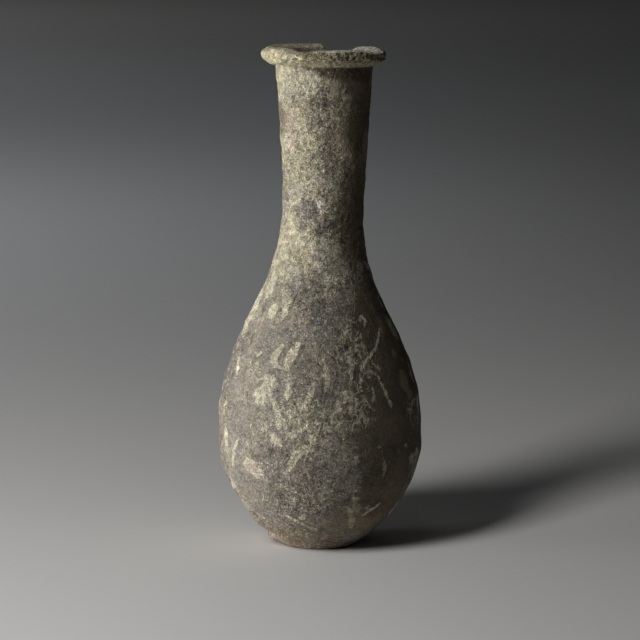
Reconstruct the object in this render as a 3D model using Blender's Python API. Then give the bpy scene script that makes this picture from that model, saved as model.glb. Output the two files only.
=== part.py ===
"""Pottery unguentarium: a small wheel-thrown flask for scented oil, in one piece of fired clay.

The wall is one outline turned about the axis: a flat foot, a pear-shaped body, a tall neck and a
thick everted rim with a dished mouth, hollow down to the floor. The turned form is then worked as
the potter's hands and time left it: the neck leans, a knife has taken flats above the foot, the
rim sits askew, a length of it is broken away at the back and a flake has left its front.

Metres, +Z up, origin at the middle of the foot's flat underside. The front is -Y.
"""

import math

import bmesh
import bpy
from mathutils import Vector, noise
from mathutils.geometry import interpolate_bezier

# Driving dimensions of the outside.
HEIGHT = 0.1420  # underside of the foot to the crest of the rim, before it tilts
FOOT_RADIUS = 0.0103
FOOT_EDGE_RADIUS = 0.0140
FOOT_EDGE_HEIGHT = 0.0024
BELLY_RADIUS = 0.02915
BELLY_HEIGHT = 0.0310
NECK_RADIUS = 0.0115
NECK_HEIGHT = 0.0940
NECK_TOP_RADIUS = 0.0134
NECK_TOP_HEIGHT = 0.1362
RIM_RADIUS = 0.0176
RIM_MIDDLE_HEIGHT = 0.1399  # where the rim stands out furthest
CREST_RADIUS = 0.0159
MOUTH_RADIUS = 0.0114
MOUTH_DEPTH = 0.0022  # the dish, from the crest to the edge of the bore

# The hollow. The wall is thickest low down, where it was trimmed.
NECK_WALL = 0.0028
BELLY_WALL = 0.0037
FLOOR_HEIGHT = 0.0070
FLOOR_RADIUS = 0.0055
HOLLOW_BELLY_HEIGHT = 0.0340

# How fine the turned mesh is.
STEPS_AROUND = 64

# Irregularities of the hand-made form.
LEAN = 0.0011  # how far the neck stands off the axis, towards +X
LEAN_START = 0.072
LEAN_END = 0.110
OFF_CENTRE = (  # (height, spread, how far towards +X) where the wall sits off the axis
    (0.066, 0.014, -0.00035),
    (0.003, 0.005, -0.00040),
)
RIM_TILT = math.radians(1.2)  # the rim is lower on the +X side
OVAL = 0.006  # share of the radius
LUMP_DEPTH = 0.00030
LUMP_SIZE = 0.0110
RIDGE_DEPTH = 0.00012  # finger ridges left by throwing
RIDGE_PITCH = 0.0085
BREAK_GRAIN = 0.0021  # the size of the unevenness on a broken face

# Flats cut by the trimming knife: (facing, radius at the foot edge, radius at the top, top height).
TRIM_FLATS = (
    (math.radians(178), 0.0132, 0.0281, 0.0245),
    (math.radians(118), 0.0137, 0.0266, 0.0210),
    (math.radians(62), 0.0139, 0.0262, 0.0200),
)

# Places pressed in while the clay was soft: (facing, height, reach around, reach up, depth).
DENTS = (
    (math.radians(180), 0.0320, 0.0100, 0.0045, 0.00060),
    (math.radians(180), 0.0110, 0.0140, 0.0050, 0.00080),
    (math.radians(0), 0.0330, 0.0080, 0.0050, 0.00030),
    (math.radians(95), 0.0500, 0.0120, 0.0120, 0.00050),
)

# The clay.
CLAY_COLOUR = (0.33, 0.30, 0.25, 1.0)
CLAY_ROUGHNESS = 0.92


def ease(value, start, end):
    """0 before start, 1 after end, and smooth between them."""
    share = min(1.0, max(0.0, (value - start) / (end - start)))
    return share * share * (3 - 2 * share)


def curve_points(knots, spans):
    """Points along Bezier spans. A knot is (handle before, point, handle after), and spans holds
    the number of steps between each pair. The first point of each span is left to the one before.
    """
    points = [Vector(knots[0][1])]
    for (_, start, leaving), (arriving, end, _), steps in zip(knots, knots[1:], spans):
        span = interpolate_bezier(
            Vector(start), Vector(leaving), Vector(arriving), Vector(end), steps + 1
        )
        points.extend(span[1:])
    return points


def outer_outline():
    """(radius, height) from the edge of the foot's flat to the crest of the rim."""
    under_radius = (NECK_TOP_RADIUS + RIM_RADIUS) / 2
    under_height = NECK_TOP_HEIGHT + 0.0012
    knots = (
        (None, (FOOT_RADIUS, 0), (FOOT_RADIUS + 0.0012, 0.0001)),
        (
            (FOOT_EDGE_RADIUS - 0.0012, FOOT_EDGE_HEIGHT - 0.0010),
            (FOOT_EDGE_RADIUS, FOOT_EDGE_HEIGHT),
            (FOOT_EDGE_RADIUS + 0.0135, FOOT_EDGE_HEIGHT + 0.0109),
        ),
        (
            (BELLY_RADIUS, BELLY_HEIGHT - 0.0036),
            (BELLY_RADIUS, BELLY_HEIGHT),
            (BELLY_RADIUS, BELLY_HEIGHT + 0.0312),
        ),
        (
            (NECK_RADIUS, NECK_HEIGHT - 0.0242),
            (NECK_RADIUS, NECK_HEIGHT),
            (NECK_RADIUS, NECK_HEIGHT + 0.0120),
        ),
        (
            (NECK_TOP_RADIUS - 0.0003, NECK_TOP_HEIGHT - 0.0140),
            (NECK_TOP_RADIUS, NECK_TOP_HEIGHT),
            (NECK_TOP_RADIUS + 0.0006, NECK_TOP_HEIGHT + 0.0002),
        ),
        (
            (under_radius - 0.0008, under_height - 0.0005),
            (under_radius, under_height),
            (under_radius + 0.0011, under_height + 0.0008),
        ),
        (
            (RIM_RADIUS, RIM_MIDDLE_HEIGHT - 0.0012),
            (RIM_RADIUS, RIM_MIDDLE_HEIGHT),
            (RIM_RADIUS, RIM_MIDDLE_HEIGHT + 0.0014),
        ),
        ((CREST_RADIUS + 0.0010, HEIGHT), (CREST_RADIUS, HEIGHT), None),
    )
    return curve_points(knots, (3, 7, 13, 6, 2, 2, 4))


def inner_outline():
    """(radius, height) from the crest of the rim, through the mouth, down to the floor."""
    mouth_height = HEIGHT - MOUTH_DEPTH
    bore_radius = NECK_RADIUS - NECK_WALL
    bore_top_radius = NECK_TOP_RADIUS - NECK_WALL
    belly_radius = BELLY_RADIUS - BELLY_WALL
    knots = (
        (None, (CREST_RADIUS, HEIGHT), (CREST_RADIUS - 0.0009, HEIGHT)),
        (
            (MOUTH_RADIUS + 0.0010, mouth_height + 0.0004),
            (MOUTH_RADIUS, mouth_height),
            (MOUTH_RADIUS - 0.0005, mouth_height - 0.0004),
        ),
        (
            (bore_top_radius, NECK_TOP_HEIGHT + 0.0014),
            (bore_top_radius, NECK_TOP_HEIGHT),
            (bore_top_radius - 0.0003, NECK_TOP_HEIGHT - 0.0140),
        ),
        (
            (bore_radius, NECK_HEIGHT + 0.0120),
            (bore_radius, NECK_HEIGHT),
            (bore_radius, NECK_HEIGHT - 0.0260),
        ),
        (
            (belly_radius, HOLLOW_BELLY_HEIGHT + 0.0290),
            (belly_radius, HOLLOW_BELLY_HEIGHT),
            (belly_radius, HOLLOW_BELLY_HEIGHT - 0.0130),
        ),
        ((FLOOR_RADIUS + 0.0080, FLOOR_HEIGHT), (FLOOR_RADIUS, FLOOR_HEIGHT), None),
    )
    return curve_points(knots, (3, 2, 4, 8, 6))[1:]


def trimmed(co):
    """A point of the outside, drawn in to the knife's flats where it stands proud of them."""
    for facing, foot_radius, top_radius, top_height in TRIM_FLATS:
        if co.z >= top_height:
            continue
        outward = Vector((math.cos(facing), math.sin(facing), 0))
        rise = (top_radius - foot_radius) / (top_height - FOOT_EDGE_HEIGHT)
        flat = foot_radius + rise * (co.z - FOOT_EDGE_HEIGHT)
        proud = co.dot(outward) - flat
        if proud > 0:
            co = co - outward * proud
    return co


def pressed_in(co, angle):
    """How deep the dents are at a point of the outside."""
    depth = 0.0
    for facing, height, reach_around, reach_up, deepest in DENTS:
        around = math.remainder(angle - facing, math.tau) * math.hypot(co.x, co.y)
        up = co.z - height
        depth += deepest * math.exp(-((around / reach_around) ** 2) - (up / reach_up) ** 2)
    return depth * ease(co.z, 0.0, FOOT_EDGE_HEIGHT)


def thrown(co, outside):
    """A point of the turned form as the hand-made flask has it."""
    angle = math.atan2(co.y, co.x)
    radial = Vector((math.cos(angle), math.sin(angle), 0))
    above_foot = ease(co.z, 0.0, FOOT_EDGE_HEIGHT)
    swell = OVAL * math.hypot(co.x, co.y) * math.cos(2 * angle + 0.6)
    swell += RIDGE_DEPTH * math.sin(math.tau * co.z / RIDGE_PITCH + angle)
    if outside:
        swell += LUMP_DEPTH * noise.noise(co / LUMP_SIZE)
    moved = co + radial * swell * above_foot
    if outside:
        moved = trimmed(moved) - radial * pressed_in(co, angle)
    lean = LEAN * ease(co.z, LEAN_START, LEAN_END)
    for height, spread, shift in OFF_CENTRE:
        lean += shift * math.exp(-(((co.z - height) / spread) ** 2))
    askew = math.tan(RIM_TILT) * co.x * ease(co.z, NECK_HEIGHT, NECK_TOP_HEIGHT)
    return moved + Vector((lean, 0, -askew))


def turned(name):
    """The hollow wall: both outlines turned about the axis, closed over the foot and the floor."""
    outer, inner = outer_outline(), inner_outline()
    outline = [(point, True) for point in outer] + [(point, False) for point in inner]
    shape = bmesh.new()
    rings = []
    for (radius, height), outside in outline:
        ring = []
        for step in range(STEPS_AROUND):
            angle = math.tau * step / STEPS_AROUND
            co = Vector((radius * math.cos(angle), radius * math.sin(angle), height))
            ring.append(shape.verts.new(thrown(co, outside)))
        rings.append(ring)
    for lower, upper in zip(rings, rings[1:]):
        for step in range(STEPS_AROUND):
            after = (step + 1) % STEPS_AROUND
            shape.faces.new((lower[step], lower[after], upper[after], upper[step]))
    for ring, turn in ((rings[0], -1), (rings[-1], 1)):
        centre = sum((vert.co for vert in ring), Vector()) / STEPS_AROUND
        middle = shape.verts.new(centre)
        for step in range(STEPS_AROUND):
            after = (step + turn) % STEPS_AROUND
            shape.faces.new((middle, ring[step], ring[after]))
    bmesh.ops.recalc_face_normals(shape, faces=shape.faces)
    mesh = bpy.data.meshes.new(name)
    shape.to_mesh(mesh)
    shape.free()
    return add_object(name, mesh)


def at_front(radius, facing, height):
    """A point the given number of degrees round from the front, towards +X."""
    turn = math.radians(facing)
    return radius * math.sin(turn), -radius * math.cos(turn), height


def broken_block(name, start, end, roughness):
    """A cutter with broken-looking sides: a block between two outlines with the same number of
    points, its sides divided and moved by noise of the given depth."""
    shape = bmesh.new()
    rings = [[shape.verts.new(co) for co in outline] for outline in (start, end)]
    for first, second, third, fourth in zip(
        rings[0], rings[0][1:] + rings[0][:1], rings[1][1:] + rings[1][:1], rings[1]
    ):
        shape.faces.new((first, second, third, fourth))
    for ring in rings:
        shape.faces.new(ring)
    bmesh.ops.recalc_face_normals(shape, faces=shape.faces)
    bmesh.ops.triangulate(shape, faces=shape.faces)
    bmesh.ops.subdivide_edges(shape, edges=shape.edges, cuts=3, use_grid_fill=True)
    for vert in shape.verts:
        vert.co += noise.noise_vector(vert.co / BREAK_GRAIN) * roughness
    mesh = bpy.data.meshes.new(name)
    shape.to_mesh(mesh)
    shape.free()
    cutter = add_object(name, mesh)
    cutter.location.x = LEAN
    cutter.hide_render = True
    cutter.display_type = "WIRE"
    return cutter


def missing_length():
    """The space of the rim piece broken away at the back: steep at its -X end, sloping up to the
    crest at its +X end, and wider outside than in."""
    floor = NECK_TOP_HEIGHT + 0.0008
    profile = (
        (-0.0003, HEIGHT + 0.0030),
        (0.0004, HEIGHT - 0.0008),
        (0.0016, HEIGHT - 0.0036),
        (0.0040, floor - 0.0003),
        (0.0085, floor + 0.0008),
        (0.0110, HEIGHT - 0.0023),
        (0.0142, HEIGHT - 0.0008),
        (0.0160, HEIGHT + 0.0030),
    )
    near, far = 0.0025, 0.0220
    inside = [(x * 0.55, near, z) for x, z in profile]
    outside = [(x * 1.60, far, z) for x, z in profile]
    return broken_block("missing_length", inside, outside, 0.00035)


def front_flake():
    """The space of the lip struck off the front of the rim and its +X side: a slanting step at
    the -X end, then a bite that follows the rim round, shallower as it goes."""
    low = NECK_TOP_HEIGHT - 0.0010
    high = HEIGHT + 0.0020
    depths = (0.0012, 0.0013, 0.0012, 0.0010, 0.0008, 0.0007, 0.0006, 0.0005, 0.0004)
    outlines = []
    for height, first in ((low, -41), (high, -22)):
        facings = [first + (140 - first) * step / 8 for step in range(9)]
        bitten = [(RIM_RADIUS - depth, facing) for depth, facing in zip(depths, facings)]
        clear = [(RIM_RADIUS + 0.0040, facing) for facing in reversed(facings)]
        outlines.append([at_front(radius, facing, height) for radius, facing in bitten + clear])
    return broken_block("front_flake", outlines[0], outlines[1], 0.00020)


def add_object(name, mesh):
    item = bpy.data.objects.new(name, mesh)
    bpy.context.scene.collection.objects.link(item)
    return item


def clay():
    """Fired clay under a dull grey-buff skin of lime."""
    material = bpy.data.materials.new("fired_clay")
    material.use_nodes = True
    shader = material.node_tree.nodes["Principled BSDF"]
    shader.inputs["Base Color"].default_value = CLAY_COLOUR
    shader.inputs["Roughness"].default_value = CLAY_ROUGHNESS
    shader.inputs["Metallic"].default_value = 0.0
    return material


def cut(item, cutter):
    modifier = item.modifiers.new(cutter.name, "BOOLEAN")
    modifier.operation = "DIFFERENCE"
    modifier.solver = "EXACT"
    modifier.object = cutter


def main():
    for item in list(bpy.data.objects):
        bpy.data.objects.remove(item)
    flask = turned("unguentarium")
    flask.data.materials.append(clay())
    flask.data.shade_smooth()
    flask.data.set_sharp_from_angle(angle=math.radians(40))
    for cutter in (missing_length(), front_flake()):
        cut(flask, cutter)


main()
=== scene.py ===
"""The finish of the pottery unguentarium: sandy grey-brown clay under a skin of burial lime.

The flask is turned again here as one fine mesh, with its knife flats, its rubbed and pitted skin,
the lime raised on it and the two breaks in its rim. What lies on the surface is kept as named
masks on the mesh, and the clay's material reads them. Lengths are in metres unless a name says
millimetres, and a facing is in degrees round from the front, towards +X.
"""

import math
import random

import bmesh
import bpy
import numpy as np
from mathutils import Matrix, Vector, noise
from mathutils.geometry import interpolate_bezier


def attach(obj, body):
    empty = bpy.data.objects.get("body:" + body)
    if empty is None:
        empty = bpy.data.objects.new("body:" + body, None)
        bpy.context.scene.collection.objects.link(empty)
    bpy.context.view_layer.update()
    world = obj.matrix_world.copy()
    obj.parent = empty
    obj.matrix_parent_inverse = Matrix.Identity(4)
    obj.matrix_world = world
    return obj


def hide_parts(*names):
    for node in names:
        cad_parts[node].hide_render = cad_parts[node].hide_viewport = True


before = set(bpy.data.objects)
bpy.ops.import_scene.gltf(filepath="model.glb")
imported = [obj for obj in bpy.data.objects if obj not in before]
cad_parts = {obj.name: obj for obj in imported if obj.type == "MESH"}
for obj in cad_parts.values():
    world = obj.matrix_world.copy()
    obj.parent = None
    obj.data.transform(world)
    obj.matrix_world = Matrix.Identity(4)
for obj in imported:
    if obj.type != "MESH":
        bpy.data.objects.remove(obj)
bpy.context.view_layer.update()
MM = 0.001

# ---------------------------------------------------------------------------------------------
# The thrown form. Radii and heights in millimetres.

HEIGHT = 142.0
FOOT_RADIUS = 10.3
FOOT_EDGE = (14.0, 2.4)
BELLY = (29.15, 31.0)
NECK = (11.4, 96.0)
NECK_TOP = (13.45, 137.0)
RIM = (17.6, 140.0)  # where the rim stands out furthest
CREST_RADIUS = 15.0
MOUTH = (12.1, 141.1)  # the edge of the bore, inside the dished lip
NECK_WALL = 2.8
BELLY_WALL = 3.7
FLOOR = (5.5, 7.0)
HOLLOW_BELLY_HEIGHT = 34.0

LEAN = 1.22  # how far the neck stands over towards +X
RIM_TILT = math.radians(1.2)
# Where the wall sits off the axis: (height, spread, how far towards +X).
OFF_CENTRE = ((66, 14, -0.35), (3, 5, -0.40))
# Flats cut by the knife: (facing, radius at the foot edge, radius at the top, top height).
KNIFE_FLATS = (
    (-92, 14.3, 29.0, 24.5),
    (-152, 13.7, 26.6, 21.0),
    (152, 13.9, 26.2, 20.0),
)
# Places pressed in while the clay was soft, or pushed out where the depth is below 0:
# (facing, height, reach around, reach up, depth).
DENTS = (
    (-90, 32, 10, 4.5, 0.60),
    (-90, 11, 14, 5.0, 0.10),
    (-84, 5.0, 12, 1.7, 1.8),
    (-82, 2.3, 7, 1.0, -0.9),
    (-76, 0.2, 13, 1.2, 0.7),
    (90, 33, 8, 5.0, 0.30),
    (-175, 50, 12, 12, 0.50),
)

# Places where the crest of the rim is worn: (facing, reach in degrees, depth).
WORN_PLACES = (
    (-95, 24, 0.35),
    (-24, 12, 0.75),
    (-5, 30, 0.30),
    (64, 20, 0.75),
    (104, 12, 0.35),
    (140, 13, 0.50),
)

COLUMNS = 272  # faces of the mesh around the wall
BELLY_STEP = 0.62  # the length of a face up the outside
NECK_STEP = 0.43
RIM_STEP = 0.36
MOUTH_STEP = RIM_STEP * 1.4  # and down the inside
HOLLOW_STEP = 5.0
NECK_FROM = 76  # the heights at which the finer faces begin
RIM_FROM = 134


def outline_points(knots):
    """A fine line of (radius, height) through knots. Each is a point, the step from it to the
    Bezier handle before it, and the step to the handle after it."""
    points = [Vector(knots[0][0])]
    for (start, _, leaving), (end, arriving, _) in zip(knots, knots[1:]):
        handles = Vector(np.add(start, leaving)), Vector(np.add(end, arriving))
        points.extend(interpolate_bezier(Vector(start), *handles, Vector(end), 80)[1:])
    return np.array([point[:2] for point in points])


def outer_outline():
    flare = (NECK_TOP[0] + 2.0, NECK_TOP[1] + 0.9)
    return outline_points(
        (
            ((FOOT_RADIUS, 0), None, (1.2, 0.1)),
            (FOOT_EDGE, (-1.2, -1.0), (13.5, 10.9)),
            (BELLY, (0, -3.6), (0, 31.2)),
            (NECK, (0, -26.2), (0, 12)),
            (NECK_TOP, (-0.75, -14), (0.6, 0.15)),
            (flare, (-0.7, -0.4), (1.2, 0.7)),
            (RIM, (0, -1.0), (0, 1.0)),
            ((CREST_RADIUS, HEIGHT), (1.2, 0), None),
        )
    )


def inner_outline():
    return outline_points(
        (
            ((CREST_RADIUS, HEIGHT), None, (-1.2, 0)),
            (MOUTH, (1.0, 0.5), (-0.6, -0.4)),
            ((NECK_TOP[0] - NECK_WALL, NECK_TOP[1]), (0, 2.0), (-0.3, -14)),
            ((NECK[0] - NECK_WALL, NECK[1]), (0, 12), (0, -26)),
            ((BELLY[0] - BELLY_WALL, HOLLOW_BELLY_HEIGHT), (0, 29), (0, -13)),
            (FLOOR, (8, 0), None),
        )
    )


def spaced(line, step_at):
    """The line's points again, at steps whose length step_at gives for each height."""
    lengths = np.concatenate([[0], np.cumsum(np.hypot(*np.diff(line, axis=0).T))])
    middles = (line[1:, 1] + line[:-1, 1]) / 2
    counts = np.concatenate([[0], np.cumsum(np.diff(lengths) / step_at(middles))])
    total = max(2, round(counts[-1]))
    wanted = np.linspace(0, counts[-1], total + 1)
    return np.stack([np.interp(wanted, counts, line[:, axis]) for axis in (0, 1)], axis=1)


def ease(value, start, end):
    """0 before start, 1 after end, and smooth between them."""
    share = np.clip((value - start) / (end - start), 0, 1)
    return share * share * (3 - 2 * share)


def between(value, start, full, fading, end):
    """0 before start, 1 from full to fading, and 0 again after end."""
    return ease(value, start, full) * (1 - ease(value, fading, end))


def rough(points, size, octaves=1, seed=0):
    """Smooth noise, about -1 to 1, at each point in millimetres, its features about size long."""
    moved = points / size + seed * 7.31
    if octaves == 1:
        return np.array([noise.noise(point) for point in moved])
    return np.array([noise.fractal(point, 1.0, 2.0, octaves) for point in moved])


def facing_of(points):
    """Degrees round from the front, towards +X."""
    return np.degrees(np.arctan2(points[:, 0], -points[:, 1]))


def at_facing(radius, facing, height):
    turn = math.radians(facing)
    return radius * math.sin(turn), -radius * math.cos(turn), height


OUTER = outer_outline()


def on_wall(facing, height):
    """The point of the outside at this facing and height."""
    radius = np.interp(height, OUTER[:, 1], OUTER[:, 0])
    return np.array(at_facing(radius, facing, height))


# ---------------------------------------------------------------------------------------------
# What lies on the surface. Places are (facing, height in millimetres).

# Strokes of pale lime: (places, half width at each place), widths in millimetres.
LIME_STROKES = (
    # The hooked stroke and its neighbour.
    (((-27, 60.0), (-30, 58.2), (-31, 56.4), (-29, 54.8), (-21, 54.4)), (0.7, 1.2, 1.1, 0.5, 0.3)),
    (((-14, 61.2), (-17, 59.2), (-20.3, 56.6), (-20.6, 54.4)), (0.5, 1.2, 1.2, 0.7)),
    (((-19.2, 53.2), (-18.6, 50.0), (-18.7, 46.6)), (0.4, 0.9, 0.9)),
    # The strokes in the middle of the belly.
    (((-3.0, 50.8), (-5.2, 48.0), (-8.6, 44.2)), (0.5, 0.9, 0.8)),
    (((2.0, 57.6), (4.6, 54.8), (5.2, 52.4), (4.6, 49.8)), (0.3, 0.6, 0.9, 0.7)),
    # What drips from the leaf-shaped smear at the left.
    (((-28, 45.6), (-25.5, 43.0), (-23.4, 41.0), (-23.6, 37.8)), (0.7, 0.9, 1.2, 0.3)),
    (((-27, 35.4), (-24.7, 34.6), (-22.6, 33.6)), (1.0, 1.3, 0.8)),
    (((-20.4, 40.6), (-18.6, 38.6)), (0.6, 0.5)),
    # Squiggles towards the left edge.
    (((-50.4, 55.4), (-46.5, 52.8), (-42.8, 50.6)), (0.35, 0.35, 0.3)),
    (((-41, 50.4), (-37.5, 51.2), (-34.2, 52.4)), (0.35, 0.45, 0.3)),
    (((-47, 58.0), (-45, 57.0), (-43, 58.2)), (0.3, 0.5, 0.3)),
    # The great slanting wedge, and the short upright stroke above it.
    (((-4.9, 32.9), (-9.3, 32.5)), (1.0, 1.25)),
    (((-9.3, 32.5), (-12.6, 31.1), (-16.1, 28.1), (-20.7, 24.4)), (1.1, 1.35, 1.1, 0.35)),
    (((-1.6, 40.9), (-1.1, 38.7), (-2.7, 36.0)), (0.7, 0.9, 0.7)),
    # The open ring to the left of that.
    (
        (
            (-16.9, 41.2),
            (-13.5, 42.4),
            (-9.5, 41.9),
            (-6.6, 40.3),
            (-7.7, 38.4),
            (-11.6, 37.2),
            (-15.5, 37.7),
        ),
        (0.4, 0.5, 0.45, 0.4, 0.4, 0.35, 0.3),
    ),
    # Long strokes near the left edge.
    (((-52, 33.6), (-56, 29.6), (-60, 25.0)), (0.6, 0.75, 0.4)),
    (((-67.5, 35.6), (-66, 33.2), (-64.5, 31.0)), (0.9, 1.4, 0.9)),
    (((-70, 42.0), (-71, 41.2)), (0.9, 0.6)),
    # The crooked line and the scratches on the right shoulder.
    (((54.5, 63.8), (49, 61.8), (45, 59.6)), (0.25, 0.45, 0.4)),
    (((45, 59.6), (37, 57.5), (31.2, 55.9), (28.5, 53.6)), (0.4, 0.45, 0.4, 0.25)),
    (((37.2, 52.6), (41.2, 48.0), (44.9, 43.2)), (0.3, 0.4, 0.55)),
    (((32.9, 49.2), (33.4, 47.4), (32.0, 44.8)), (0.2, 0.3, 0.35)),
    (((29.5, 56.2), (26.5, 52.6), (25.1, 48.6)), (0.2, 0.3, 0.2)),
    (((19.5, 58.6), (20.8, 54.6), (18.8, 50.2)), (0.5, 0.6, 0.4)),
    (((21.6, 55.2), (24.5, 55.6)), (0.35, 0.3)),
    (((36.0, 66.8), (39.0, 67.8), (41.5, 66.6), (39.0, 65.4)), (0.35, 0.4, 0.5, 0.35)),
    # Low on the right side.
    (((34.9, 32.4), (37.8, 28.6), (38.8, 24.6), (39.2, 21.8)), (0.25, 0.1, 0.15, 0.05)),
    (((55.6, 31.4), (56.4, 31.0)), (0.5, 0.3)),
    (((42.4, 14.8), (37.1, 13.4), (32.4, 11.9)), (0.4, 0.7, 0.4)),
    (((18.2, 15.2), (21.6, 13.2), (23.6, 14.6)), (0.4, 0.6, 0.4)),
    (((21.6, 13.2), (24.0, 10.8), (26.4, 8.0)), (0.8, 1.0, 0.7)),
    # The knife's edge low at the left.
    (((-64.7, 16.8), (-61.3, 14.5), (-53.6, 11.8), (-45.4, 8.5)), (0.3, 0.4, 0.35, 0.2)),
    # Low on the front, above the foot.
    (((-24.7, 12.2), (-17.5, 10.4), (-12, 9.4), (-3, 7.4)), (0.5, 0.75, 0.6, 0.8)),
    (((-15, 12.6), (-10.5, 12.2)), (0.35, 0.6)),
    (((-5.6, 14.0), (-1.0, 14.2)), (0.25, 0.35)),
    # On the shoulder.
    (((-45, 85.0), (-33, 83.0), (-23, 81.2)), (0.3, 0.45, 0.3)),
)

# Broader patches, here and in the tables below: (facing, height, half width, half height,
# strength).
LIME_PATCHES = (
    (-80, 68.0, 3.4, 9.0, 0.85),
    (-62, 76.0, 2.6, 5.0, 0.7),
    (-67, 19.5, 1.6, 2.4, 0.75),
    (22, 17.9, 1.4, 0.8, 0.8),
    (-12.8, 11.7, 1.6, 0.8, 0.8),
    (20, 29.4, 1.0, 2.0, 0.6),
    (-43, 26.8, 2.8, 2.1, 1.0),
    (-37.5, 24.6, 2.4, 1.8, 1.0),
    (-59, 74.5, 2.0, 1.8, 0.9),
    (-44, 69.2, 1.7, 2.4, 0.9),
    (-30.5, 69.2, 1.2, 2.1, 0.9),
    (-27.5, 72.0, 0.7, 0.9, 0.9),
    (-31.5, 50.2, 2.6, 2.6, 0.9),
    (-35.5, 46.6, 3.4, 3.0, 0.85),
    (-17.0, 42.4, 2.4, 1.4, 0.8),
    (-9.0, 42.0, 2.0, 1.3, 0.8),
    (-5.4, 39.0, 1.2, 3.0, 0.8),
    (-15.5, 36.4, 2.6, 1.1, 0.7),
    (-3.6, 35.6, 1.9, 1.8, 0.8),
    (8.4, 39.6, 1.5, 2.8, 0.85),
    (10.6, 44.0, 1.2, 2.0, 0.85),
    (17.0, 46.4, 2.4, 1.8, 0.75),
    (13.5, 36.0, 0.8, 1.6, 0.7),
    (-17, 17.4, 2.2, 1.4, 0.6),
    (5.2, 21.6, 2.6, 1.2, 0.6),
    (0.0, 81.6, 2.0, 1.3, 0.9),
    (13, 78.0, 2.4, 1.7, 0.85),
    (-29, 88.0, 2.0, 1.8, 0.75),
)

CHALK_SPOTS = (
    (-8.4, 31.6, 0.9, 0.8, 1.0),
    (-4.0, 99.4, 1.3, 1.7, 1.0),
    (2.0, 97.6, 1.2, 1.2, 0.8),
    (1.5, 82.0, 1.0, 0.9, 0.8),
    (10.5, 78.8, 1.4, 1.1, 0.8),
    (-70, 41.8, 1.1, 0.7, 0.8),
    (5.0, 20.6, 2.0, 1.0, 0.6),
    (-16, 16.6, 1.8, 1.2, 0.7),
    (-22, 45.8, 0.8, 1.6, 0.5),
    (-42.0, 37.8, 0.6, 0.9, 0.7),
    (-40.4, 35.6, 0.8, 0.6, 0.7),
    (-44.0, 39.2, 0.4, 0.6, 0.6),
    (24, 131.0, 0.8, 1.4, 0.5),
)

YELLOW_SPOTS = (
    (-11, 67.2, 0.8, 0.9, 1.0),
    (25.0, 8.8, 1.2, 1.2, 0.7),
    (39.4, 26.0, 0.8, 1.8, 0.7),
    (-6, 60.6, 0.9, 0.6, 0.4),
    (-58, 139.6, 6.0, 2.4, 0.55),
)

ROSE_PATCHES = (
    (-41, 26.0, 2.8, 2.1, 1.1),
    (2.0, 34.8, 1.5, 1.4, 0.8),
    (4.8, 54.6, 1.0, 1.6, 0.7),
    (-50, 119.0, 2.6, 6.4, 1.0),
    (16, 116.0, 2.2, 2.4, 0.9),
    (-12, 84.0, 3.0, 1.6, 0.6),
    (-30, 103.0, 2.4, 2.4, 0.5),
    (-52, 66.0, 2.2, 3.6, 0.4),
    (30, 92.0, 1.2, 1.4, 0.3),
    (62, 49.0, 2.4, 3.4, 0.9),
    (60, 56.8, 1.4, 1.4, 0.65),
    (65, 45.0, 1.8, 1.4, 0.8),
    (-62, 3.2, 3.6, 1.8, 1.0),
)

RUST_STAINS = (
    (47, 37.6, 4.2, 3.8, 0.45),
    (50, 20.0, 3.0, 7.0, 0.4),
    (-17, 127.4, 0.7, 2.0, 0.7),
    (-9, 123.0, 0.8, 1.4, 0.5),
    (-12, 26.4, 2.6, 2.2, 0.6),
    (56, 64.4, 1.0, 2.4, 0.8),
    (31.5, 66.6, 1.4, 0.7, 0.8),
    (28, 12.0, 1.4, 1.0, 0.6),
    (-34, 3.6, 6.0, 2.4, 0.8),
    (10, 3.0, 4.0, 1.6, 0.6),
    (52, 132.0, 3.2, 3.4, 0.3),
    (70, 127.0, 1.0, 2.0, 0.4),
)

MAUVE_PATCHES = (
    (-27, 96.0, 4.4, 4.6, 0.65),
    (2.7, 92.2, 2.6, 2.2, 0.6),
    (6.0, 122.0, 3.6, 8.0, 0.35),
    (0.5, 46.8, 2.6, 2.4, 0.8),
    (1.0, 40.4, 2.2, 3.2, 0.9),
    (-11.0, 52.6, 2.8, 3.0, 0.7),
    (-38.0, 62.0, 5.0, 4.0, 0.5),
    (-12.0, 38.6, 1.8, 1.4, 0.9),
    (-2.0, 24.6, 4.0, 3.0, 0.6),
    (-33.0, 30.0, 4.0, 4.0, 0.4),
    (40, 86.0, 2.4, 5.0, 0.6),
)

# Clay worn or smeared smooth, with a thin olive film.
OLIVE_PATCHES = (
    (48, 118.5, 7.0, 6.5, 0.9),
    (28, 120.0, 2.6, 2.2, 0.6),
    (62, 100.0, 5.0, 10.0, 0.6),
    (66, 76.0, 6.0, 9.0, 0.5),
    (28, 11.0, 12.0, 5.0, 0.7),
    (-62, 14.0, 7.0, 4.0, 0.4),
    (54, 50.0, 5.0, 6.0, 0.4),
)

# Brown soil and painted shade: the large patches on the right darken it where it turns away from
# the light, and the rest are a thin film of soil.
SOIL_AND_SHADE_PATCHES = (
    (66, 44, 23.0, 34.0, 1.3),
    (46, 22, 12.0, 13.0, 1.0),
    (62, 96, 9.0, 17.0, 1.0),
    (62, 122, 8.0, 15.0, 0.9),
    (48, 132.5, 7.0, 4.6, 1.0),
    (10, 84, 5.0, 4.0, 0.25),
)

# Where the skin is rubbed smooth. The large patch on the right side also thins the pale grains
# there: painted shade on the side away from the light.
SMOOTH_PATCHES = (
    (66, 42, 20.0, 34.0, 0.85),
    (56, 132.0, 7.0, 4.6, 1.0),
    (48, 119.0, 7.0, 6.0, 0.8),
    (68, 96.0, 6.0, 16.0, 0.6),
    (30, 11.0, 13.0, 5.0, 0.7),
    (-58, 44.0, 10.0, 16.0, 0.35),
    (-50, 66.0, 8.0, 9.0, 0.35),
    (-50, 18.0, 10.0, 6.0, 0.4),
)

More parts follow.
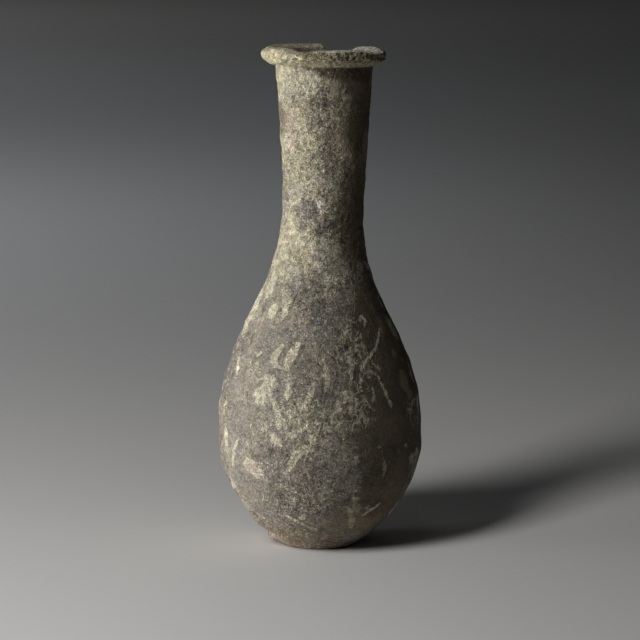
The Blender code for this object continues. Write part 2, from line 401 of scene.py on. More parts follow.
# Where the lime has grown in crooked threads.
NETWORK_PATCHES = (
    (22, 60.0, 6.0, 10.0, 0.95),
    (8, 52.0, 6.0, 8.0, 0.6),
    (-4, 41.0, 13.0, 6.0, 0.9),
    (18, 44.0, 8.0, 8.0, 0.9),
    (8, 33.0, 9.0, 6.0, 0.6),
    (-28, 38.0, 6.0, 6.0, 0.6),
    (-42, 54.0, 7.0, 6.0, 0.5),
    (20, 75.0, 8.0, 6.0, 0.6),
    (-20, 56.0, 8.0, 7.0, 0.35),
    (-8, 18.0, 11.0, 4.5, 0.8),
    (18, 17.0, 9.0, 6.0, 0.6),
    (-40, 20.0, 8.0, 5.0, 0.5),
)

# Where grains have dropped out of the skin and left it pitted, the pits painted dark as shade in
# the holes; the listed patches lie mostly in the middle and towards the right, where the light
# grazes.
PITTED_PATCHES = (
    (5, 124.0, 7.0, 8.0, 1.0),
    (14, 111.0, 6.0, 9.0, 0.8),
    (-6, 100.0, 8.0, 6.0, 0.6),
    (14, 94.0, 7.0, 6.0, 0.9),
    (18, 77.0, 10.0, 8.0, 0.7),
    (28, 60.0, 10.0, 12.0, 0.8),
    (2, 42.0, 14.0, 10.0, 0.6),
    (-10, 30.0, 10.0, 8.0, 0.6),
    (24, 30.0, 9.0, 8.0, 0.5),
    (-35, 118.0, 4.0, 16.0, 0.3),
    (-4, 17.0, 14.0, 8.0, 0.7),
    (10, 72.0, 12.0, 8.0, 0.6),
)

# Single pits: (facing, height, radius, depth).
PITS = (
    (-13.4, 41.2, 0.45, 0.7),
    (9.3, 44.4, 0.9, 0.5),
    (-5.5, 96.6, 0.7, 0.4),
    (46.8, 31.6, 0.8, 0.5),
    (48.0, 29.6, 0.9, 0.5),
    (48.0, 27.8, 0.6, 0.3),
    (-52.0, 140.2, 0.5, 0.7),
    (-49.0, 138.8, 0.5, 0.4),
    (-74.0, 28.4, 0.6, 0.4),
    (14.0, 121.4, 0.5, 0.35),
    (3.0, 126.4, 0.5, 0.3),
    (7.5, 130.2, 0.5, 0.3),
    (-12.0, 112.0, 0.5, 0.3),
    (20.0, 59.0, 0.5, 0.3),
)

# Fine lines, laid out as the strokes are: one down the shoulder, one round the neck.
HAIR_CRACKS = (
    (((-19, 77.6), (-20.5, 75.6), (-22.8, 73.6), (-24.4, 71.2)), (0.07,) * 4),
    (((-44, 113.0), (-22, 113.9), (-2, 113.5), (16, 114.0)), (0.02,) * 4),
)


def segment_distance(points, start, end, start_width, end_width):
    """How far each point lies from a tapering bar, less the bar's half width there."""
    along = end - start
    share = np.clip((points - start) @ along / max(along @ along, 1e-9), 0, 1)
    gap = np.linalg.norm(points - start - share[:, None] * along, axis=1)
    return gap - (start_width + (end_width - start_width) * share)


def stroke_distance(points, strokes):
    """Millimetres to the edge of the nearest stroke, up to 3: below 0 inside one."""
    nearest = np.full(len(points), 3.0)
    for places, widths in strokes:
        marks = [on_wall(*place) for place in places]
        for start, end, first, last in zip(marks, marks[1:], widths, widths[1:]):
            close = np.linalg.norm(points - start, axis=1) < 12
            nearest[close] = np.minimum(
                nearest[close], segment_distance(points[close], start, end, first, last)
            )
    return nearest


def patch_mask(points, patches):
    """1 in the middle of a patch, falling through a half at its edge to 0."""
    mask = np.zeros(len(points))
    facing, height = facing_of(points), points[:, 2]
    for place, level, half_width, half_height, strength in patches:
        centre = on_wall(place, level)
        close = np.linalg.norm(points - centre, axis=1) < 3 * max(half_width, half_height)
        turn = (facing[close] - place + 180) % 360 - 180
        across = np.radians(turn) * math.hypot(centre[0], centre[1]) / half_width
        up = (height[close] - level) / half_height
        reach = np.hypot(across, up)
        mask[close] = np.maximum(mask[close], strength * (1 - ease(reach, 0.3, 1.7)))
    return mask


def strewn_strokes(count, seed):
    """Lime strokes strewn over the sides and back, where nothing is listed."""
    draw = random.Random(seed)
    strokes = []
    for _ in range(count):
        facing = draw.uniform(70, 295)
        height = draw.uniform(9, 78)
        length = draw.uniform(2.5, 9.0)
        slant = draw.gauss(0, 28)
        width = draw.uniform(0.3, 1.1)
        places, widths = [], []
        for share in (-0.5, -0.15, 0.2, 0.5):
            level = height + length * share
            radius = max(8.0, float(np.interp(level, OUTER[:, 1], OUTER[:, 0])))
            shift = length * share * math.tan(math.radians(slant)) + draw.gauss(0, 0.5)
            places.append((facing + math.degrees(shift / radius), level))
            widths.append(width * (1.2 - abs(share) * 1.6) * draw.uniform(0.7, 1.2))
        strokes.append((tuple(places), tuple(widths)))
    return tuple(strokes)


def strewn_patches(count, low, high, sizes, strength, seed):
    """Patches strewn over the sides and back."""
    draw = random.Random(seed)
    return tuple(
        (
            draw.uniform(68, 292),
            draw.uniform(low, high),
            draw.uniform(*sizes),
            draw.uniform(*sizes) * 1.3,
            strength * draw.uniform(0.6, 1.0),
        )
        for _ in range(count)
    )


LIME_STROKES += strewn_strokes(46, 11)
LIME_PATCHES += strewn_patches(26, 8, 84, (0.8, 2.8), 0.85, 12)
CHALK_SPOTS += strewn_patches(14, 8, 136, (0.5, 1.5), 0.9, 13)
YELLOW_SPOTS += strewn_patches(8, 8, 80, (0.5, 1.3), 0.8, 14)
ROSE_PATCHES += strewn_patches(9, 12, 130, (1.2, 3.4), 0.7, 15)
RUST_STAINS += strewn_patches(12, 2, 130, (1.2, 4.5), 0.7, 16)
MAUVE_PATCHES += strewn_patches(22, 12, 130, (1.8, 5.0), 0.6, 17)
SOIL_AND_SHADE_PATCHES += strewn_patches(6, 8, 128, (4.0, 12.0), 0.7, 23)
OLIVE_PATCHES += strewn_patches(9, 8, 128, (3.0, 8.0), 0.7, 19)
SMOOTH_PATCHES += strewn_patches(8, 8, 128, (4.0, 10.0), 0.7, 20)
NETWORK_PATCHES += strewn_patches(14, 14, 84, (4.0, 10.0), 0.8, 21)
PITTED_PATCHES += strewn_patches(16, 12, 130, (4.0, 10.0), 0.9, 22)
PITS += tuple(
    (facing, height, 0.3 + size * 0.2, 0.2 + size * 0.12)
    for facing, height, size, _, _ in strewn_patches(70, 6, 136, (0.3, 3.0), 1.0, 18)
)
PATCHES = {
    "lime": LIME_PATCHES,
    "chalk": CHALK_SPOTS,
    "yellow": YELLOW_SPOTS,
    "rose": ROSE_PATCHES,
    "rust": RUST_STAINS,
    "mauve": MAUVE_PATCHES,
    "olive": OLIVE_PATCHES,
    "smooth": SMOOTH_PATCHES,
    "pitted": PITTED_PATCHES,
    "network": NETWORK_PATCHES,
    "soil_and_shade": SOIL_AND_SHADE_PATCHES,
}


def drifted(points):
    """The points moved sideways by noise, so that what is drawn at them wanders."""
    moves = [rough(points, 1.8, 2, 50 + axis) for axis in range(3)]
    return points + 0.45 * np.stack(moves, axis=1)


def crust_cover(points):
    """How far the olive lime skin has closed over the clay: it shows where this is over 0.5."""
    height = points[:, 2]
    cover = 0.30 + 0.34 * ease(height, 62, 88)
    cover += 0.10 * ease(height, 128, 136) + 0.25 * ease(height, 136.4, 138)
    cover += 0.30 * rough(points, 11.0, 2, 21) + 0.22 * rough(points, 3.4, 3, 22)
    lime = patch_mask(points, LIME_PATCHES)
    mauve = patch_mask(points, MAUVE_PATCHES)
    return np.clip(cover + 0.35 * lime - 0.45 * mauve, 0, 1)


# ---------------------------------------------------------------------------------------------
# The mesh.


def trimmed(points):
    """The outside drawn in to the knife's flats."""
    height = points[:, 2]
    for facing, foot_radius, top_radius, top_height in KNIFE_FLATS:
        way_out = np.array(at_facing(1, facing, 0))
        rise = (top_radius - foot_radius) / (top_height - FOOT_EDGE[1])
        flat = foot_radius + rise * (height - FOOT_EDGE[1])
        flat += 0.10 * rough(points, 4.0, 2, 31)
        proud = np.clip(points @ way_out - flat, 0, None) * (height < top_height)
        points = points - proud[:, None] * way_out
    return points


def set_askew(points):
    """The neck leant over and the rim tilted, as the flask left the wheel."""
    height = points[:, 2]
    lean = LEAN * ease(height, 72, 110)
    for level, spread, shift in OFF_CENTRE:
        lean += shift * np.exp(-(((height - level) / spread) ** 2))
    drop = math.tan(RIM_TILT) * points[:, 0] * ease(height, NECK[1], NECK_TOP[1])
    return points + np.stack([lean, np.zeros_like(lean), -drop], axis=1)


def outward(points):
    """The level way out from the axis at each point, and how far out the point is."""
    radius = np.hypot(points[:, 0], points[:, 1])
    return points * np.array([1, 1, 0]) / np.maximum(radius, 1e-6)[:, None], radius


def swollen(points):
    """The slow unevenness of hand throwing, moved straight out from the axis."""
    out, radius = outward(points)
    turn = np.arctan2(points[:, 1], points[:, 0])
    swell = 0.006 * radius * np.cos(2 * turn + 0.6)
    swell += 0.09 * np.sin(math.tau * points[:, 2] / 8.5 + turn)
    swell += 0.15 * rough(points, 11.0)
    return points + (swell * ease(points[:, 2], 0, FOOT_EDGE[1]))[:, None] * out


def pressed_in(points):
    """The dents pushed into the soft clay."""
    out, radius = outward(points)
    depth = np.zeros(len(points))
    for facing, height, reach_around, reach_up, deepest in DENTS:
        turn = np.radians((facing_of(points) - facing + 180) % 360 - 180)
        up = points[:, 2] - height
        depth += deepest * np.exp(-((turn * radius / reach_around) ** 2) - (up / reach_up) ** 2)
    return points - (depth * ease(points[:, 2], 0, FOOT_EDGE[1]))[:, None] * out


def flake_start(height):
    """The facing at which the struck part of the lip begins: it slants away lower down."""
    return -26 - 0.95 * np.clip(HEIGHT - 0.5 - height, 0, 4.4) ** 2.05


def flake_reach(facing, start):
    """1 along the struck part of the lip, from its crisp start to where it dies out."""
    return between(facing, start, start + 1.8, 150, 165)


def lip_wear(facing):
    """How far the crest is worn down at this facing."""
    return sum(
        depth * np.exp(-(((facing - place) / reach) ** 2)) for place, reach, depth in WORN_PLACES
    )


def worn_lip(points):
    wear, height = lip_wear(facing_of(points)), points[:, 2]
    return points - (wear * ease(height, 138.6, 141.6))[:, None] * np.array([0, 0, 1])


def lip_flake(points):
    """The outer lip knocked off the front and right of the rim: a crisp slanting edge at the
    left, then a rough face that follows the rim round to the back, over a steeper underside.
    The lip that is left on the other side hangs fuller. Gives the points and, for each, how
    far it was struck."""
    facing, height = facing_of(points), points[:, 2]
    out, radius = outward(points)
    start = flake_start(height) + 1.2 * rough(points, 2.0, 1, 41)
    struck = flake_reach(facing, start)
    lift = 0.8 * ease(radius, 13.6, 16.0) * between(height, 137.1, 137.7, 139.2, 140.4)
    lift *= between(facing, -28, -4, 40, 80)
    fuller = 0.6 * ease(radius, 14.0, 15.4) * (1 - ease(height, 139.0, 140.2))
    lift -= fuller * between(facing, -140, -110, start - 14, start - 2)
    points = points + lift[:, None] * np.array([0, 0, 1])
    bite = 0.3 + 1.2 * ease(facing, -28, -4) - 0.95 * ease(facing, 12, 85)
    limit = RIM[0] - bite + 0.22 * rough(points, 2.2, 2, 42)
    over = np.clip(radius - limit, 0, None) * struck * ease(points[:, 2], 137.4, 138.4)
    return points - over[:, None] * out, np.clip(over / 0.4, 0, 1)


def skin_relief(points):
    """How far the skin stands out at each point: sand, rubbed places, raised lime and pits."""
    wandering = drifted(points)
    stroke = stroke_distance(wandering, LIME_STROKES)
    lime = patch_mask(wandering, LIME_PATCHES)
    cover = crust_cover(points)
    smooth = patch_mask(points, SMOOTH_PATCHES)
    pitted = patch_mask(points, PITTED_PATCHES)
    relief = 0.07 * rough(points, 5.0, 2, 51) + 0.11 * rough(points, 2.4, 2, 52)
    relief += (0.12 + 0.16 * pitted) * rough(points, 1.4, 1, 54)
    relief += 0.09 * ease(cover, 0.42, 0.58) * (1 + 0.5 * rough(points, 1.3, 1, 53))
    relief += 0.13 * (1 - ease(stroke, -0.4, 0.4)) + 0.09 * ease(lime, 0.4, 0.6)
    relief *= 1 - 0.7 * smooth
    for facing, height, radius, depth in PITS:
        gap = np.linalg.norm(points - on_wall(facing, height), axis=1)
        relief -= depth * np.exp(-((gap / radius) ** 2))
    relief -= 0.10 * (1 - ease(stroke_distance(points, HAIR_CRACKS), -0.05, 0.35))
    return relief


def grid_normals(grid):
    """The way out from the wall at each point of a grid of rings."""
    up = np.gradient(grid, axis=0)
    around = np.roll(grid, -1, axis=1) - np.roll(grid, 1, axis=1)
    normals = np.cross(around, up)
    return normals / np.maximum(np.linalg.norm(normals, axis=2, keepdims=True), 1e-9)


def turned_rings(line):
    """Rings of points, one for each (radius, height) of the line."""
    turns = np.linspace(0, math.tau, COLUMNS, endpoint=False)
    radius, height = line[:, :1], line[:, 1:]
    level = np.broadcast_to(height, (len(line), COLUMNS))
    return np.stack([radius * np.cos(turns), radius * np.sin(turns), level], axis=2)


def outer_step(height):
    return np.select([height > RIM_FROM, height > NECK_FROM], [RIM_STEP, NECK_STEP], BELLY_STEP)


def inner_step(height):
    return np.where(height > RIM_FROM, MOUTH_STEP, HOLLOW_STEP)


def bridge(shape, lower, upper):
    """A band of faces from one closed ring of corners to the next."""
    for corners in zip(lower, lower[1:] + lower[:1], upper[1:] + upper[:1], upper):
        shape.faces.new(corners)


def finished(shape, name):
    """What was built up in shape, as a mesh of this name."""
    mesh = bpy.data.meshes.new(name)
    shape.to_mesh(mesh)
    shape.free()
    return mesh


def flask_mesh():
    """The whole wall as one closed mesh, in metres."""
    outside = turned_rings(spaced(OUTER, outer_step))
    rows = len(outside)
    points = outside.reshape(-1, 3)
    points = pressed_in(trimmed(swollen(points)))
    points, struck = lip_flake(points)
    points = worn_lip(points)
    normals = grid_normals(points.reshape(rows, COLUMNS, 3)).reshape(-1, 3)
    relief = skin_relief(points)
    grit = 0.20 * rough(points, 1.1, 2, 43)
    holes = ease(rough(points, 0.95, 1, 44), 0.0, 0.40)
    hole_depth = 0.18 + 0.36 * ease(facing_of(points), -8, 18)
    relief = relief + struck * (grit - hole_depth * holes)
    relief *= ease(points[:, 2], 0.0, 1.2)
    points = points + relief[:, None] * normals
    hollow = turned_rings(spaced(inner_outline(), inner_step)[1:]).reshape(-1, 3)
    hollow[:, :2] *= (1 + 0.006 * rough(hollow, 12.0, 2, 61))[:, None]
    hollow = worn_lip(hollow)
    every = set_askew(np.concatenate([points, hollow])) * MM

    shape = bmesh.new()
    verts = [shape.verts.new(point) for point in every]
    rings = [verts[start : start + COLUMNS] for start in range(0, len(verts), COLUMNS)]
    for lower, upper in zip(rings, rings[1:]):
        bridge(shape, lower, upper)
    ends = [shape.faces.new(list(reversed(rings[0]))), shape.faces.new(rings[-1])]
    bmesh.ops.poke(shape, faces=ends)
    return finished(shape, "flask")


def add_object(name, data):
    item = bpy.data.objects.new(name, data)
    bpy.context.scene.collection.objects.link(item)
    return item


def missing_length():
    """A block the shape of the rim piece lost at the back, its sides broken clay."""
    low = NECK_TOP[1] + 0.2
    profile = (
        (-2.3, HEIGHT + 3.0),
        (-0.75, HEIGHT + 0.3),
        (0.45, HEIGHT - 1.5),
        (1.8, HEIGHT - 3.6),
        (4.0, low - 0.3),
        (6.2, low + 0.6),
        (8.0, HEIGHT - 1.7),
        (11.9, HEIGHT + 0.1),
        (13.0, HEIGHT + 3.0),
    )
    shape = bmesh.new()
    # The left side is turned a little towards the back, the right side follows the radius.
    rings = [
        [shape.verts.new((x * spread if x > 5 else x - turned, y, z)) for x, z in profile]
        for spread, turned, y in ((0.55, -1.0, 2.5), (1.60, 0.9, 22.0))
    ]
    bridge(shape, *rings)
    for ring in rings:
        shape.faces.new(ring)
    bmesh.ops.recalc_face_normals(shape, faces=shape.faces)
    bmesh.ops.triangulate(shape, faces=shape.faces)
    bmesh.ops.subdivide_edges(shape, edges=shape.edges, cuts=15, use_grid_fill=True)
    points = np.array([vert.co for vert in shape.verts])
    push = [
        0.55 * rough(points, 2.3, 1, 70 + axis) + 0.16 * rough(points, 0.7, 2, 80 + axis)
        for axis in range(3)
    ]
    for vert, point, move in zip(shape.verts, points, np.stack(push, axis=1)):
        vert.co = (point + move + np.array([LEAN, 0, 0])) * MM
    return add_object("missing_length", finished(shape, "missing_length"))


def broken_away(item, cutter, marker):
    """Cuts the block out of the flask for good. The fresh faces come with the marker material,
    and their corners are given back as marks."""
    item.data.materials.append(None)
    cutter.data.materials.append(marker)
    cut = item.modifiers.new("break", "BOOLEAN")
    cut.operation = "DIFFERENCE"
    cut.solver = "EXACT"
    cut.material_mode = "TRANSFER"
    cut.object = cutter
    done = item.evaluated_get(bpy.context.evaluated_depsgraph_get())
    mesh = bpy.data.meshes.new_from_object(done)
    item.modifiers.clear()
    item.data = mesh
    bpy.data.objects.remove(cutter)
    slots = [slot == marker for slot in mesh.materials]
    fresh = np.zeros(len(mesh.vertices), bool)
    for face in mesh.polygons:
        if slots[face.material_index]:
            fresh[list(face.vertices)] = True
    return fresh


def flask():
    """The flask, with the masks that its material reads by name."""
    item = add_object("flask", flask_mesh())
    marker = bpy.data.materials.new("fresh_break")
    fresh = broken_away(item, missing_length(), marker)
    mesh = item.data
    mesh.materials.clear()
    bpy.data.materials.remove(marker)
    mesh.polygons.foreach_set("material_index", np.zeros(len(mesh.polygons), np.int32))

    points = np.empty(len(mesh.vertices) * 3)
    mesh.vertices.foreach_get("co", points)
    points = points.reshape(-1, 3) / MM
    # The lean is so small that taking it off once more sets the flask upright, near enough.
    upright = 2 * points - set_askew(points)
    _, radius = outward(upright)
    facing, height = facing_of(upright), upright[:, 2]
    skin_radius = np.interp(height, OUTER[:, 1], OUTER[:, 0])
    # The inside of the wall and the bore of the mouth, painted dark as shade.
    inside = ease(skin_radius - radius, 1.6, 2.4) * (height < 137) * (height > 1)
    mouth = ease(MOUTH[0] + 0.3 - radius, 0, 0.3) * (1 - ease(height, 140.9, 141.4))
    inside = np.maximum(inside, 0.7 * mouth * (height > 136))
    wandering = drifted(upright)
    start = flake_start(height)
    lip = ease(height, 137.6, 138.4) * ease(radius, 15.0, 15.6)
    dish = ease(height, 140.0, 140.6) * (1 - ease(radius, 15.4, 16.2))
    edge = ease(height + lip_wear(facing), HEIGHT - 0.75, HEIGHT - 0.35) * ease(radius, 14.2, 14.8)
    # Painted shadow cast by the rim's overhang on the neck below it: it reaches further down
    # towards the right.
    rim_shadow_edge = 136.6 - 3.2 * ease(facing, -30, 15) + 0.9 * rough(upright, 2.4, 2, 92)
    rim_shadow = ease(height - rim_shadow_edge, -1.0, 1.0) * (1 - ease(height, 136.6, 137.4))
    under = between(height, 136.7, 137.4, 138.4, 139.1)
    masks = {
        "crust": crust_cover(upright) * (1 - inside),
        "thick": 0.60 + 0.32 * ease(height, 66, 92),
        "stroke": stroke_distance(wandering, LIME_STROKES),
        "crack": stroke_distance(upright, HAIR_CRACKS),
        "broken": fresh,
        "struck": flake_reach(facing, start) * lip,
        # A painted highlight along the crisp edge where the struck lip begins.
        "arris_highlight": np.exp(-(((facing - start + 0.3) / 1.0) ** 2)) * lip,
        "white_lip": dish * between(facing, 45, 75, 150, 175),
        "crest": edge * between(facing, -22, 6, 70, 90),
        # painted shadow under the rim
        "rim_shadow": rim_shadow * between(facing, -50, -28, 95, 130),
        "underside": under * between(facing, -40, -10, 95, 130),
        "inside": inside,
        "earth": 1 - ease(height + 2.0 * rough(upright, 6, 2, 91), 3, 27),
    }
    for name, patches in PATCHES.items():
        masks[name] = patch_mask(wandering, patches)
    for name, values in masks.items():
        layer = mesh.attributes.new(name, "FLOAT", "POINT")
        layer.data.foreach_set("value", np.asarray(values, np.float32))
    mesh.shade_smooth()
    return item


# ---------------------------------------------------------------------------------------------
# Materials.


class Tree:
    """A short way to lay nodes and join them."""

    def __init__(self, nodes_of):
        self.tree = nodes_of

    def add(self, kind, inputs=None, **settings):
        node = self.tree.nodes.new("ShaderNode" + kind)
        for name, value in settings.items():
            setattr(node, name, value)
        for name, value in (inputs or {}).items():
            self.feed(node.inputs[name], value)
        return node

    def feed(self, socket, value):
        if isinstance(value, bpy.types.NodeSocket):
            self.tree.links.new(value, socket)
        else:
            socket.default_value = value

    def math(self, operation, first, second=None, third=None):
        node = self.add("Math", operation=operation)
        for socket, value in zip(node.inputs, (first, second, third)):
            if value is not None:
                self.feed(socket, value)
        return node.outputs[0]

    def times(self, first, second):
        return self.math("MULTIPLY", first, second)

    def scaled(self, value, factor, base):
        """The value times the factor, plus the base."""
        return self.math("MULTIPLY_ADD", value, factor, base)

    def edge(self, value, low, high):
        """0 below low, 1 above high, and smooth between them."""
        node = self.add(
            "MapRange",
            {"Value": value, "From Min": low, "From Max": high},
            interpolation_type="SMOOTHSTEP",
        )
        return node.outputs["Result"]

    def fade(self, value, low, high):
        """1 below low, 0 above high, and smooth between them."""
        return self.math("SUBTRACT", 1.0, self.edge(value, low, high))

    def blend(self, share, first, second, mode="MIX"):
        node = self.add("Mix", data_type="RGBA", blend_type=mode)
        self.feed(node.inputs["Factor"], share)
        self.feed(node.inputs["A"], first)
        self.feed(node.inputs["B"], second)
        return node.outputs["Result"]

    def noise(self, place, size_mm, detail, roughness, seed):
        """Smooth noise about the middle value 0.5, with features of the given size."""
        node = self.add(
            "TexNoise",
            {
                "Vector": place,
                "W": seed,
                "Scale": 1000.0 / size_mm,
                "Detail": detail,
                "Roughness": roughness,
            },
            noise_dimensions="4D",
        )
        return node.outputs["Fac"]

    def off_middle(self, noise):
        return self.math("SUBTRACT", noise, 0.5)

    def crease(self, noise):
        """0 along the crooked lines where the noise crosses its middle value."""
        return self.math("ABSOLUTE", self.off_middle(noise))

    def stretched(self, place, factors):
        return self.add("VectorMath", {0: place, 1: factors}, operation="MULTIPLY").outputs[0]

    def wandering(self, place, amount_mm, size_mm):
        """The place moved about by noise, so that what is drawn there has crooked edges."""
        drift = self.add("TexNoise", {"Vector": place, "Scale": 1000.0 / size_mm, "Detail": 1.0})
        drift = self.add(
            "VectorMath", {0: drift.outputs["Color"], 1: (0.5, 0.5, 0.5)}, operation="SUBTRACT"
        )
        moved = self.add(
            "VectorMath",
            {0: drift.outputs[0], 1: (amount_mm * MM,) * 3, 2: place},
            operation="MULTIPLY_ADD",
        )
        return moved.outputs[0]

    def mask(self, name):
        return self.add("Attribute", attribute_name=name).outputs["Fac"]


def new_group(name, inputs, outputs):
    """An empty node group, its Tree, and what goes in and out of it: first the place, and for
    the rest plain values."""
    group = bpy.data.node_groups.new(name, "ShaderNodeTree")
    group.interface.new_socket("Place", in_out="INPUT", socket_type="NodeSocketVector")
    for label, default in inputs.items():
        socket = group.interface.new_socket(label, in_out="INPUT", socket_type="NodeSocketFloat")
        socket.default_value = default
    for label in outputs:
        group.interface.new_socket(label, in_out="OUTPUT", socket_type="NodeSocketFloat")
    tree = Tree(group)
    start = group.nodes.new("NodeGroupInput")
    end = group.nodes.new("NodeGroupOutput")
    return group, tree, start.outputs, end.inputs


GRAIN_MM = 0.60


def sandy_skin():
    """Coarse sand in fired clay: its height in millimetres, how its tone wavers from grain to
    grain, the pale grains, and the pits where grains have dropped out, which the material
    paints dark as shade in the holes."""
    group, tree, given, out = new_group(
        "sandy_skin",
        {"Pitting": 0.0, "Smoothness": 0.0},
        ("Height", "Tone", "Pale", "Pits"),
    )
    place = tree.stretched(tree.wandering(given["Place"], 0.5, 1.1), (1.0, 1.0, 1.25))
    coarse = tree.scaled(given["Smoothness"], -0.75, 1.0)
    rugged = tree.scaled(given["Pitting"], 0.45, coarse)
    fine = tree.noise(place, 0.40, 2.0, 0.75, 1.0)
    grit = tree.noise(place, 1.15, 2.0, 0.6, 2.0)
    lumps = tree.noise(place, 2.8, 1.0, 0.6, 6.0)
    cells = tree.add("TexVoronoi", {"Vector": place, "Scale": 1000.0 / GRAIN_MM}).outputs
    rise = tree.fade(cells["Distance"], 0.05, 0.70)

    # Crooked furrows between the grains, and single holes.
    furrow = tree.fade(tree.crease(tree.noise(place, 1.5, 2.0, 0.6, 9.0)), 0.0, 0.07)
    furrow = tree.times(furrow, tree.edge(given["Pitting"], 0.1, 0.9))
    hole = tree.scaled(given["Pitting"], 0.10, tree.noise(place, 0.70, 1.0, 0.5, 3.0))
    pits = tree.math("MAXIMUM", tree.edge(hole, 0.67, 0.78), tree.times(furrow, 0.7))
    pits = tree.times(pits, coarse)

    height = tree.times(fine, 0.35)
    height = tree.scaled(grit, 0.42, height)
    height = tree.scaled(rise, 0.10, height)
    height = tree.times(height, rugged)
    height = tree.scaled(pits, -0.22, height)
    tone = tree.times(tree.off_middle(fine), 1.42)
    tone = tree.scaled(tree.off_middle(grit), 0.64, tone)
    tone = tree.scaled(tree.off_middle(lumps), 0.40, tone)
    tone = tree.math("POWER", 10.0, tree.times(tone, rugged))
    chosen = tree.add("SeparateColor", {"Color": cells["Color"]}).outputs["Red"]
    pale = tree.times(tree.edge(chosen, 0.72, 0.86), rise)
    tree.feed(out["Height"], height)
    tree.feed(out["Tone"], tone)
    tree.feed(out["Pale"], tree.times(pale, coarse))
    tree.feed(out["Pits"], pits)
    return group


def ragged_edge():
    """Turns a soft mask into a patch with a ragged, granular edge."""
    group, tree, given, out = new_group(
        "ragged_edge", {"Cover": 0.0, "Raggedness": 0.5, "Softness": 0.06}, ("Mask",)
    )
    place = given["Place"]
    tear = tree.math(
        "ADD", tree.noise(place, 1.6, 4.0, 0.8, 7.0), tree.noise(place, 0.5, 2.0, 0.7, 8.0)
    )
    tear = tree.math("SUBTRACT", tear, 1.0)
    cover = tree.scaled(tear, given["Raggedness"], given["Cover"])
    low = tree.math("SUBTRACT", 0.5, given["Softness"])
    high = tree.math("ADD", 0.5, given["Softness"])
    tree.feed(out["Mask"], tree.edge(cover, low, high))
    return group


def lime_threads():
    """Thin crooked threads of lime that run together, mostly upwards, where growth lets them."""
    group, tree, given, out = new_group("lime_threads", {"Growth": 0.0}, ("Mask",))
    place = tree.wandering(given["Place"], 1.0, 1.6)
    tall = tree.stretched(place, (1.0, 1.0, 0.6))
    thread = tree.crease(tree.noise(tall, 3.0, 2.0, 0.5, 31.0))
    cross = tree.math("ADD", tree.crease(tree.noise(tall, 2.1, 2.0, 0.5, 32.0)), 0.012)
    line = tree.math("MINIMUM", thread, cross)
    reach = tree.scaled(tree.noise(place, 4.5, 2.0, 0.6, 33.0), 0.5, given["Growth"])
    width = tree.times(tree.edge(reach, 0.55, 1.15), 0.045)
    line = tree.math("SUBTRACT", width, line)
    tree.feed(out["Mask"], tree.edge(line, -0.006, 0.016))
    return group


def rgb(red, green, blue):
    return (red, green, blue, 1.0)


# The finishes' own colours, as linear light.
MAUVE_CLAY = rgb(0.240, 0.215, 0.186)
BROWN_CLAY = rgb(0.245, 0.215, 0.170)
DARK_CLAY = rgb(0.122, 0.111, 0.091)
OLIVE_CRUST = rgb(0.318, 0.294, 0.186)
CREAM_CRUST = rgb(0.478, 0.424, 0.308)
GREY_CRUST = rgb(0.390, 0.370, 0.306)
LIME = rgb(0.540, 0.495, 0.375)
LIME_CORE = rgb(0.610, 0.550, 0.400)
CHALK = rgb(0.58, 0.555, 0.47)
WHITE_LIP = rgb(0.86, 0.82, 0.74)
YELLOW_LIME = rgb(0.46, 0.395, 0.225)
ROSE_CLAY = rgb(0.40, 0.32, 0.265)
RUST = rgb(0.26, 0.175, 0.110)
OLIVE_FILM = rgb(0.235, 0.200, 0.125)
# Dark brown: painted shade on the right side, and soil elsewhere.
SOIL_AND_SHADE_FILM = rgb(0.070, 0.056, 0.035)
UNDERSIDE = rgb(0.330, 0.295, 0.165)
# The colour of the painted shadow under the rim.
RIM_SHADOW_COLOUR = rgb(0.062, 0.050, 0.035)
EARTH = rgb(0.20, 0.155, 0.105)
HOLE = rgb(0.050, 0.042, 0.033)
SAND = rgb(0.50, 0.465, 0.37)
BREAK = rgb(0.60, 0.56, 0.50)
STRUCK_CLAY = rgb(0.510, 0.450, 0.262)
# The painted shade of the inside.
HOLLOW_SHADE = rgb(0.11, 0.092, 0.07)
PAPER = rgb(0.835, 0.83, 0.825)
PALER_PAPER = rgb(0.85, 0.845, 0.84)


def new_material(name):
    """A material, with its Tree, its shader's inputs and the place on the object."""
    material = bpy.data.materials.new(name)
    material.use_nodes = True
    tree = Tree(material.node_tree)
    shader = material.node_tree.nodes["Principled BSDF"].inputs
    return material, tree, shader, tree.add("TexCoord").outputs["Object"]


